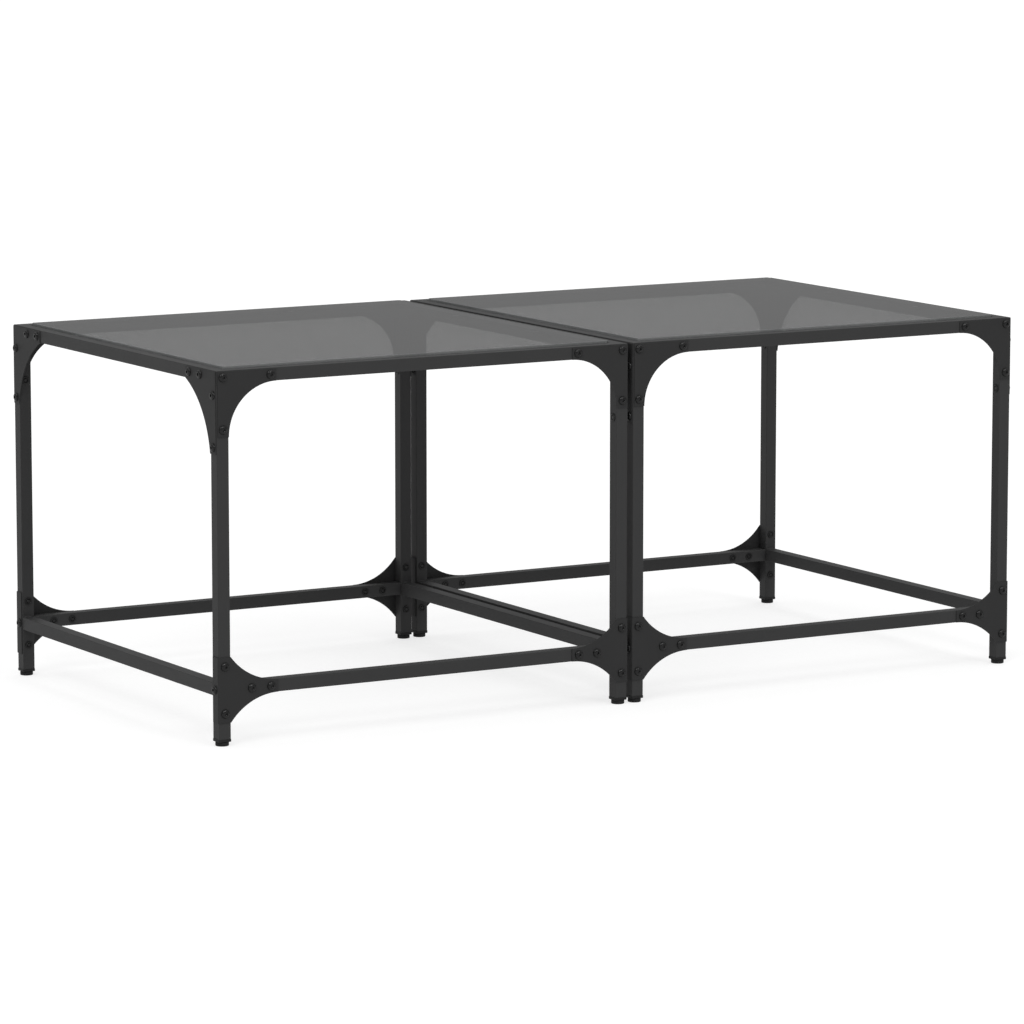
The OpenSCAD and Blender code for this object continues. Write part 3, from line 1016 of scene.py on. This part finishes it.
@dataclass
class Fasteners(TablePart):
    """Button-head bolts, rivet nuts, blind nuts and the threaded blocks in the rail ends."""

    thread_d: float = 5.0
    head_d: float = 9.5
    head_h: float = 2.4
    socket_af: float = 3.0
    socket_depth: float = 1.5
    flange_d: float = 9.0
    flange_t: float = 1.0
    nut_l: float = 7.0
    recess: float = 0.2
    bore_gap: float = 0.05
    sleeve_wall: float = 1.0
    bulge_out: float = 1.2
    bulge_l: float = 1.8
    crown_share: float = 0.42
    blind_l: float = 8.0
    block_l: float = 12.0
    block_free: float = 2.0
    block_fit: float = 0.2
    tube_wall: float = 1.0
    steps: int = 24
    seed: int = 11

    def build(self) -> None:
        """Makes the bolts as one piece and the nuts as another."""
        rng = np.random.default_rng(self.seed)
        bolts = Skin(f"{self.prefix}_button_head_bolts")
        nuts = Skin(f"{self.prefix}_nuts_and_blocks")
        for corner in Corner:
            outer = self.sizes.corner(corner)
            for axis, at, length in self.bolt_places():
                spin = float(rng.uniform(0, math.pi / 3))
                bolts.add(self.bolt(length), self.seat(axis, at, spin).inside(outer))
            for axis, at in self.nut_places():
                spin = float(rng.uniform(0, math.pi / 3))
                nuts.add(self.nut(), self.seat(axis, at, spin).inside(outer))
            nuts.add(self.blind_nut(), self.seat(Axis.NUT_Y, self.blind_at(), 0).inside(outer))
            nuts.add(self.block(), self.seat(Axis.NUT_X, self.block_at(), 0).inside(outer))
        self.hand_over(bolts.build([self.finishes.bolt], 40.0), "frame", "black_bolt", ["bolts"])
        self.hand_over(nuts.build([self.finishes.nut], 28.0), "frame", "black_nut", ["nuts"])

    def seat(self, axis: Axis, at: tuple[float, float, float], spin: float) -> Placement:
        """Axes of a fastener turned about its own axis.

        Args:
            axis: Which way it enters.
            at: Where its seat is, in the corner's axes.
            spin: Turn about its axis in radians.

        Returns:
            The placement in the corner's axes.
        """
        c, s = math.cos(spin), math.sin(spin)
        turn = Placement(((c, s, 0), (-s, c, 0), (0, 0, 1)))
        return turn.inside(Placement(axis.value, at))

    def through_l(self) -> float:
        """Length of a bolt that passes through a plate and a tube and ends in a rivet nut's flange."""
        return self.sizes.plate_t + self.sizes.tube + self.flange_t - self.recess

    def bolt_places(self) -> Iterator[tuple[Axis, tuple[float, float, float], float]]:
        """Every bolt of a corner: its way in, its seat and its length."""
        s = self.sizes
        mid, out, through = s.tube / 2, -s.plate_t, self.through_l()
        rail_z = s.frame_h - mid
        yield Axis.BOLT_Y, (mid, out, rail_z), s.plate_t + self.blind_l
        yield Axis.BOLT_Y, (mid, out, s.frame_h - s.face_leg_bolt), through
        yield Axis.BOLT_Y, (s.face_rail_bolt, out, rail_z), through
        for z in s.side_leg_bolts:
            yield Axis.BOLT_X, (out, mid, s.frame_h - z), through
        for y in s.side_rail_bolts:
            yield Axis.BOLT_X, (out, y, rail_z), through
        for z in (-s.base_leg_pitch / 2, s.base_leg_pitch / 2):
            yield Axis.BOLT_Y, (mid, out, s.base_rail_z + z), through
        for x in s.base_rail_bolts:
            yield Axis.BOLT_Y, (x, out, s.base_rail_z), through
        end = s.plate_t + s.tube + self.block_l - self.block_free
        yield Axis.BOLT_X, (out, mid, s.base_rail_z), end

    def nut_places(self) -> Iterator[tuple[Axis, tuple[float, float, float]]]:
        """Every rivet nut of a corner, in the tube's inner face behind its bolt."""
        tube = self.sizes.tube
        for axis, (x, y, z), length in self.bolt_places():
            if length != self.through_l():
                continue
            if axis is Axis.BOLT_Y:
                yield Axis.NUT_Y, (x, tube, z)
            else:
                yield Axis.NUT_X, (tube, y, z)

    def bore_r(self) -> float:
        """Radius of a threaded bore."""
        return self.thread_d / 2 + self.bore_gap

    def blind_at(self) -> tuple[float, float, float]:
        """Seat of the blind nut in the top frame."""
        mid = self.sizes.tube / 2
        return (mid, 0.0, self.sizes.frame_h - mid)

    def block_at(self) -> tuple[float, float, float]:
        """Seat of the threaded block in the lower rail's end."""
        return (self.sizes.tube, self.sizes.tube / 2, self.sizes.base_rail_z)

    def bolt(self, length: float) -> Patch:
        """A button-head bolt, seat at z = 0 and head above.

        The dome is a quarter ellipse from the rim to the crown. The socket is a hexagon with a
        small chamfer. The last turns of the thread are V grooves, and the end has a chamfer.

        Args:
            length: From the seat to the tip.

        Returns:
            The closed bolt.
        """
        r, rim = self.thread_d / 2, self.head_d / 2
        crown = rim * self.crown_share
        n = self.steps
        groove = 0.22
        rows: list[tuple[float, float]] = [(r - 0.7, -length), (r - 0.25, -length + 0.4)]
        for turn in range(3):
            rows += [(r - groove, -length + 0.5 + 0.8 * turn), (r, -length + 0.9 + 0.8 * turn)]
        rows += [(r, -0.02), (rim - 0.25, 0), (rim, 0.22)]
        angle = np.radians(np.linspace(12, 90, 7))
        rise = self.head_h - 0.35
        rows += [(crown + (rim - crown) * math.cos(a), 0.35 + rise * math.sin(a)) for a in angle]
        rings = [circle(radius, n) for radius, _ in rows]
        heights = [z for _, z in rows]
        mouth = self.socket_af / math.sqrt(3) + 0.14
        rings += [circle(mouth, n), hexagon(self.socket_af, n), hexagon(self.socket_af * 0.98, n)]
        heights += [self.head_h, self.head_h - 0.16, self.head_h - self.socket_depth]
        rings.append(circle(0.5, n))
        heights.append(self.head_h - self.socket_depth - 0.2)
        return loft(stack(rings, heights))

    def nut(self) -> Patch:
        """A rivet nut: soft-edged flange on z = 0, and body with its pressed bulge behind the wall."""
        rim, bore, body = self.flange_d / 2, self.bore_r(), self.thread_d / 2 + self.sleeve_wall
        wall, top, end = -self.tube_wall, self.flange_t, -self.nut_l
        bulge = body + self.bulge_out
        profile = [(body - 0.4, end), (body, end + 0.3), (body, wall - self.bulge_l), (bulge, wall - 1.2)]
        profile += [(bulge, wall - 0.4), (bulge - 0.3, wall), (body, wall), (body, -0.01), (rim - 0.1, 0)]
        profile += [(rim, 0.12), (rim, top - 0.45), (rim - 0.14, top - 0.14), (rim - 0.45, top)]
        profile += [(bore + 0.35, top), (bore, top - 0.3), (bore, end + 0.3), (bore + 0.3, end)]
        return turned(profile, self.steps, through=True)

    def blind_nut(self) -> Patch:
        """A blind rivet nut: sleeve with the pressed bulge behind the tube's wall."""
        body, bore = self.thread_d / 2 + self.sleeve_wall, self.bore_r()
        wall, bulge = self.tube_wall, body + self.bulge_out
        outside = [(body - 0.1, 0), (body, 0.1), (body, wall), (bulge - 0.3, wall), (bulge, wall + 0.4)]
        outside += [(bulge, wall + 1.2), (body, wall + self.bulge_l), (body, self.blind_l - 0.4)]
        outside += [(body - 0.4, self.blind_l), (bore + 0.3, self.blind_l), (bore, self.blind_l - 0.3)]
        return turned(outside + [(bore, 0.3), (bore + 0.3, 0)], self.steps, through=True)

    def block(self) -> Patch:
        """A threaded block: a square bar with broken edges and a bore."""
        side, bore = self.sizes.tube - 2 * self.tube_wall - self.block_fit, self.bore_r()
        outer = rounded_rectangle(side, side, 0.5, 5)
        within = rounded_rectangle(side - 0.6, side - 0.6, 0.4, 5)
        angle = np.arctan2(outer[:, 1], outer[:, 0])
        ring = np.stack([np.cos(angle), np.sin(angle)], -1)
        bored = [ring * (bore + 0.3), ring * bore]
        rings = [within, outer, outer, within, *bored, *bored[::-1]]
        end = self.block_l
        return loft(stack(rings, [0, 0.3, end - 0.3, end, end, end - 0.3, 0.3, 0]), through=True)


@dataclass
class LevellingFeet(TablePart):
    """Screw-in feet and the plugs in the legs' lower ends."""

    disc_r: float = 7.25
    disc_h: float = 4.2
    edge_r: float = 0.8
    stud_d: float = 6.0
    stud_l: float = 20.0
    pitch: float = 1.0
    thread_depth: float = 0.5
    stud_clearance: float = 0.12
    flange_t: float = 3.0
    lip: float = 0.4
    plug_depth: float = 13.0
    body_side: float = 11.8
    steps: int = 48

    def build(self) -> None:
        """Makes each foot as its own piece and the four plugs as one."""
        mid = self.sizes.tube / 2
        plugs = Skin(f"{self.prefix}_moulded_plugs")
        for corner in Corner:
            centre = Placement(origin=(mid, mid, 0)).inside(self.sizes.corner(corner))
            foot = Skin(f"{self.prefix}_screw_foot_{corner.label}")
            foot.add(self.foot(), centre)
            name = f"foot_{corner.label}"
            self.hand_over(foot.build([self.finishes.foot], 42.0), name, "foot_black", [name])
            plugs.add(self.plug(), centre)
        self.hand_over(plugs.build([self.finishes.plug]), "frame", "moulded_black", ["leg_plugs"])

    def foot(self) -> Patch:
        """A foot: turned disc and threaded stud in one.

        The stud's radius at angle a and height z is its crest radius less the thread's depth times a
        triangle wave of z over the pitch less a over a full turn, faded in and out at its ends.

        Returns:
            The closed foot.
        """
        r, h, e = self.disc_r, self.disc_h, self.edge_r
        stud = self.stud_d / 2
        angle = np.radians(np.linspace(-90, 0, 6))
        profile = [(1.0, 0.4), (r - 2.9, 0.4), (r - 2.5, 0.0)]
        profile += [(r - e + e * math.cos(a), e + e * math.sin(a)) for a in angle]
        profile += [(r, h - 0.5), (r - 0.15, h - 0.15), (r - 0.5, h), (stud + 0.1, h)]
        rings = [circle(radius, self.steps) for radius, _ in profile]
        heights: list[float] = [z for _, z in profile]
        z = np.linspace(h + 0.1, h + self.stud_l - 0.5, int(self.stud_l / self.pitch) * 8)
        around = np.arange(self.steps) / self.steps
        wave = np.abs(2 * np.mod(z[:, None] / self.pitch - around[None], 1) - 1)
        fade = np.clip(np.minimum(z - h - 0.1, z[-1] - z) / self.pitch, 0, 1)[:, None]
        radius = stud - 0.02 - self.thread_depth * wave * fade
        rings += [circle(row, self.steps) for row in radius]
        heights += list(z)
        rings.append(circle(stud - 0.6, self.steps))
        heights.append(h + self.stud_l)
        return loft(stack(rings, heights))

    def plug(self) -> Patch:
        """A plug: square flange with soft edges, square body inside the leg, and a bore for the stud."""
        s = self.sizes
        wide, low, seat = s.tube + 2 * self.lip, s.leg_bottom - self.flange_t, s.leg_bottom
        bore = (self.stud_d + self.stud_clearance) / 2
        corner_r = s.tube_radius + self.lip

        def square(inwards: float) -> np.ndarray:
            """The flange's outline moved inwards."""
            return rounded_rectangle(wide - 2 * inwards, wide - 2 * inwards, corner_r - inwards, 8)

        body = rounded_rectangle(self.body_side, self.body_side, 0.8, 8)
        nose = rounded_rectangle(self.body_side - 1.2, self.body_side - 1.2, 0.5, 8)
        angle = np.arctan2(body[:, 1], body[:, 0])
        ring = np.stack([np.cos(angle), np.sin(angle)], -1)
        top = seat + self.plug_depth
        rings = [square(0.45), square(0.13), square(0), square(0), square(0.1), square(0.3)]
        heights = [low, low + 0.13, low + 0.45, seat - 0.3, seat - 0.1, seat]
        rings += [body, body, nose, ring * (bore + 0.4), ring * bore, ring * bore, ring * (bore + 0.4)]
        heights += [seat, top - 1.2, top, top, top - 0.4, low + 0.4, low]
        return loft(stack(rings, heights), through=True)


@dataclass
class GlassTop(TablePart):
    """The loose glass, its silicone pads and the ledges that carry it."""

    corner_r: float = 3.0
    polish: float = 0.55
    ledge_w: float = 26.0
    ledge_reach: float = 13.0
    ledge_drop: float = 10.0
    ledge_t: float = 1.5
    ledge_offset: float = 90.0
    pad_d: float = 8.0
    pad_edge: float = 1.0

    def build(self) -> None:
        """Makes the pane, the pads and the ledges."""
        pane = Skin(f"{self.prefix}_smoked_pane")
        pane.add(self.pane())
        made = pane.build([self.finishes.glass, self.finishes.glass_edge])
        self.hand_over(made, "glass", "smoked_glass", ["glass_top"])
        pads = Skin(f"{self.prefix}_silicone_pads")
        ledges = Skin(f"{self.prefix}_ledge_brackets")
        for side in Side:
            outer = self.sizes.side(side)
            middle = self.sizes.side_length(side) / 2
            for x in (middle - self.ledge_offset, middle + self.ledge_offset):
                pads.add(self.pad(), Placement(origin=(x, self.pad_y(), self.pad_z())).inside(outer))
                at = (x, self.sizes.tube, self.ledge_top())
                ledges.add(self.ledge(), Placement(origin=at).inside(outer))
        self.hand_over(pads.build([self.finishes.pad]), "glass", "clear_silicone", ["glass_pads"])
        made = ledges.build([self.finishes.coat], 40.0)
        self.hand_over(made, "frame", "powder_coat", ["glass_ledges"])

    def ledge_top(self) -> float:
        """Height of the ledges' upper faces."""
        return float(self.sizes.high("glass_ledges")[2])

    def pad_y(self) -> float:
        """Distance of the pads' middle from the table's outer face."""
        return self.sizes.tube + self.ledge_reach - self.pad_d / 2 - self.pad_edge

    def pad_z(self) -> float:
        """Height of the pads' lower faces."""
        return float(self.sizes.low("glass_pads")[2])

    def pane(self) -> Patch:
        """The pane: rounded rectangles stacked so that the edge is a flat between two quarter rounds.

        Returns:
            The closed pane; its two faces have tag 0 and its edge tag 1.
        """
        low, high = self.sizes.low("glass_top"), self.sizes.high("glass_top")
        width, depth = (high - low)[:2]
        centre = (high + low)[:2] / 2
        e = self.polish
        moves = [e, ROUND_MID * e, 0, 0, ROUND_MID * e, e]
        rises = [low[2], low[2] + ROUND_MID * e, low[2] + e, high[2] - e, high[2] - ROUND_MID * e, high[2]]
        rings = []
        for m in moves:
            ring = rounded_rectangle(width - 2 * m, depth - 2 * m, self.corner_r - m, 8)
            rings.append(ring + centre)
        made = loft(stack(rings, rises))
        made.tags = [1, 0, 0]
        return made

    def pad(self) -> Patch:
        """A pad: low turned button whose rim is rounded and whose foot is flat."""
        r = self.pad_d / 2
        t = float(self.sizes.high("glass_pads")[2] - self.sizes.low("glass_pads")[2])
        profile = [(0.6, 0), (r - 0.15, 0), (r, 0.4 * t), (r - 0.1, 0.8 * t), (r - 0.3, t), (0.6, t)]
        return turned(profile, 32)

    def ledge(self) -> Patch:
        """A ledge: an angle of bent sheet, its section carried along the rail.

        The section's outer corner and inner corner are quarter circles about one centre, and the
        ends step in so that every edge is broken.

        Returns:
            The closed ledge, rail's face at y = 0 and upper face at z = 0.
        """
        t, reach, drop, r = self.ledge_t, self.ledge_reach, self.ledge_drop, 0.6
        angle = np.linspace(math.pi / 2, math.pi, 7)
        fan = np.stack([np.cos(angle), np.sin(angle)], -1)
        centre = np.array([r + t, -(r + t)])
        outer = centre + (r + t) * fan
        inner = (centre + r * fan)[::-1]
        tip = [[reach, -t + 0.25], [reach, -0.25], [reach - 0.25, 0]]
        heel = [[0, -drop + 0.25], [0.25, -drop], [t - 0.25, -drop], [t, -drop + 0.25]]
        section = np.concatenate([[[reach - 0.25, -t]], tip, outer, heel, inner])
        x = np.array([-self.ledge_w / 2, -self.ledge_w / 2 + 0.2, self.ledge_w / 2 - 0.2, self.ledge_w / 2])
        pull = np.array([0.2, 0, 0, 0.2])
        rings = np.empty((4, len(section), 3))
        rings[..., 0] = x[:, None]
        rings[..., 1:] = np.stack([inset(section, p) for p in pull])
        return loft(rings)


@dataclass
class SideTable:
    """One whole table."""

    table: Table
    finishes: Finishes

    def build(self) -> None:
        """Builds its sub-assemblies from the frame up."""
        sizes = TableSizes(self.table)
        for part in (TubeFrame, CornerPlates, Fasteners, LevellingFeet, GlassTop):
            part(sizes, self.finishes).build()


# ---- Studio ----


@dataclass(frozen=True)
class Lamp:
    """A far lamp: name, strength, spread in degrees and the way it lies in."""

    name: str
    strength: float
    spread: float
    lies: tuple[float, float, float]

    def build(self) -> None:
        """Adds the lamp to the scene."""
        lamp = bpy.data.lights.new(self.name, "SUN")
        lamp.energy = self.strength
        lamp.angle = math.radians(self.spread)
        holder = bpy.data.objects.new(self.name, lamp)
        holder.rotation_euler = Vector(self.lies).to_track_quat("Z", "Y").to_euler()
        bpy.context.scene.collection.objects.link(holder)


@dataclass
class Studio:
    """Pale floor, soft light from the upper left, and the camera."""

    camera_at: tuple[float, float, float] = (-3.00162, -5.18277, 1.07144)
    yaw: float = 30.0448
    pitch: float = 8.4669
    lens: float = 188.134
    sensor: float = 36.0
    floor_side: float = 160.0
    key: Lamp = Lamp("soft_key", 0.55, 20.0, (-0.62, -0.5, 0.85))
    glint: Lamp = Lamp("small_front_lamp", 0.55, 14.0, (0.15, -0.82, 0.55))
    horizon: float = 0.31
    zenith: float = 1.0

    def build(self) -> None:
        """Sets the stage."""
        self.floor()
        self.key.build()
        self.glint.build()
        self.world()
        self.camera()
        bpy.context.scene.view_settings.view_transform = "Standard"

    def floor(self) -> None:
        """A wide sheet just under the feet, which carries the floor's finish."""
        half = self.floor_side / 2
        mesh = bpy.data.meshes.new("studio_floor")
        points = [(-half, -half, 0), (half, -half, 0), (half, half, 0), (-half, half, 0)]
        mesh.from_pydata(points, [], [(0, 1, 2, 3)])
        mesh.materials.append(StudioFloor("studio_floor_sheet").material())
        sheet = bpy.data.objects.new("studio_floor", mesh)
        sheet.location.z = -0.0002
        bpy.context.scene.collection.objects.link(sheet)
        sheet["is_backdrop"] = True

    def world(self) -> None:
        """White to the eye; as light it rises from a grey horizon to a bright zenith."""
        room = bpy.data.worlds.new("soft_room")
        bpy.context.scene.world = room
        graph = Graph(room)
        way = graph.node("ShaderNodeTexCoord", {}, {}).out("Generated")
        height = graph.node("ShaderNodeSeparateXYZ", {}, {0: way}).out("Z")
        span = {"interpolation_type": "SMOOTHSTEP"}
        limits = {"Value": height, "From Min": 0.1, "From Max": 0.9, "To Min": self.horizon}
        level = graph.node("ShaderNodeMapRange", span, {**limits, "To Max": self.zenith}).out()
        eye = graph.node("ShaderNodeLightPath", {}, {}).out("Is Camera Ray")
        shown = level * (1.0 - eye) + eye
        light = graph.node("ShaderNodeBackground", {}, {"Color": (1, 1, 1, 1), "Strength": shown})
        graph.node("ShaderNodeOutputWorld", {}, {"Surface": light.out()})

    def camera(self) -> None:
        """A long lens, turned by the yaw from the front and tipped down by the pitch."""
        eye = bpy.data.cameras.new("camera")
        eye.lens = self.lens
        eye.sensor_width = self.sensor
        eye.clip_start = 0.1
        eye.clip_end = 500
        yaw, pitch = math.radians(self.yaw), math.radians(self.pitch)
        level = math.cos(pitch)
        ahead = Vector((math.sin(yaw) * level, math.cos(yaw) * level, -math.sin(pitch)))
        holder = bpy.data.objects.new("camera", eye)
        holder.location = self.camera_at
        holder.rotation_euler = ahead.to_track_quat("-Z", "Y").to_euler()
        bpy.context.scene.collection.objects.link(holder)
        bpy.context.scene.camera = holder


def write_sizes() -> None:
    """Gathers the frame's box and the finished model's box as plain lists."""
    boxes = {"cad": CAD_BOX, "visual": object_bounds()}
    plain = {name: [list(corner) for corner in box] for name, box in boxes.items()}


def main() -> None:
    """Builds both tables and the studio."""
    logging.basicConfig(level=logging.INFO, format="%(name)s: %(message)s")
    finishes = Finishes()
    for table in Table:
        SideTable(table, finishes).build()
    Studio().build()
    write_sizes()


if __name__ == "__main__":
    main()
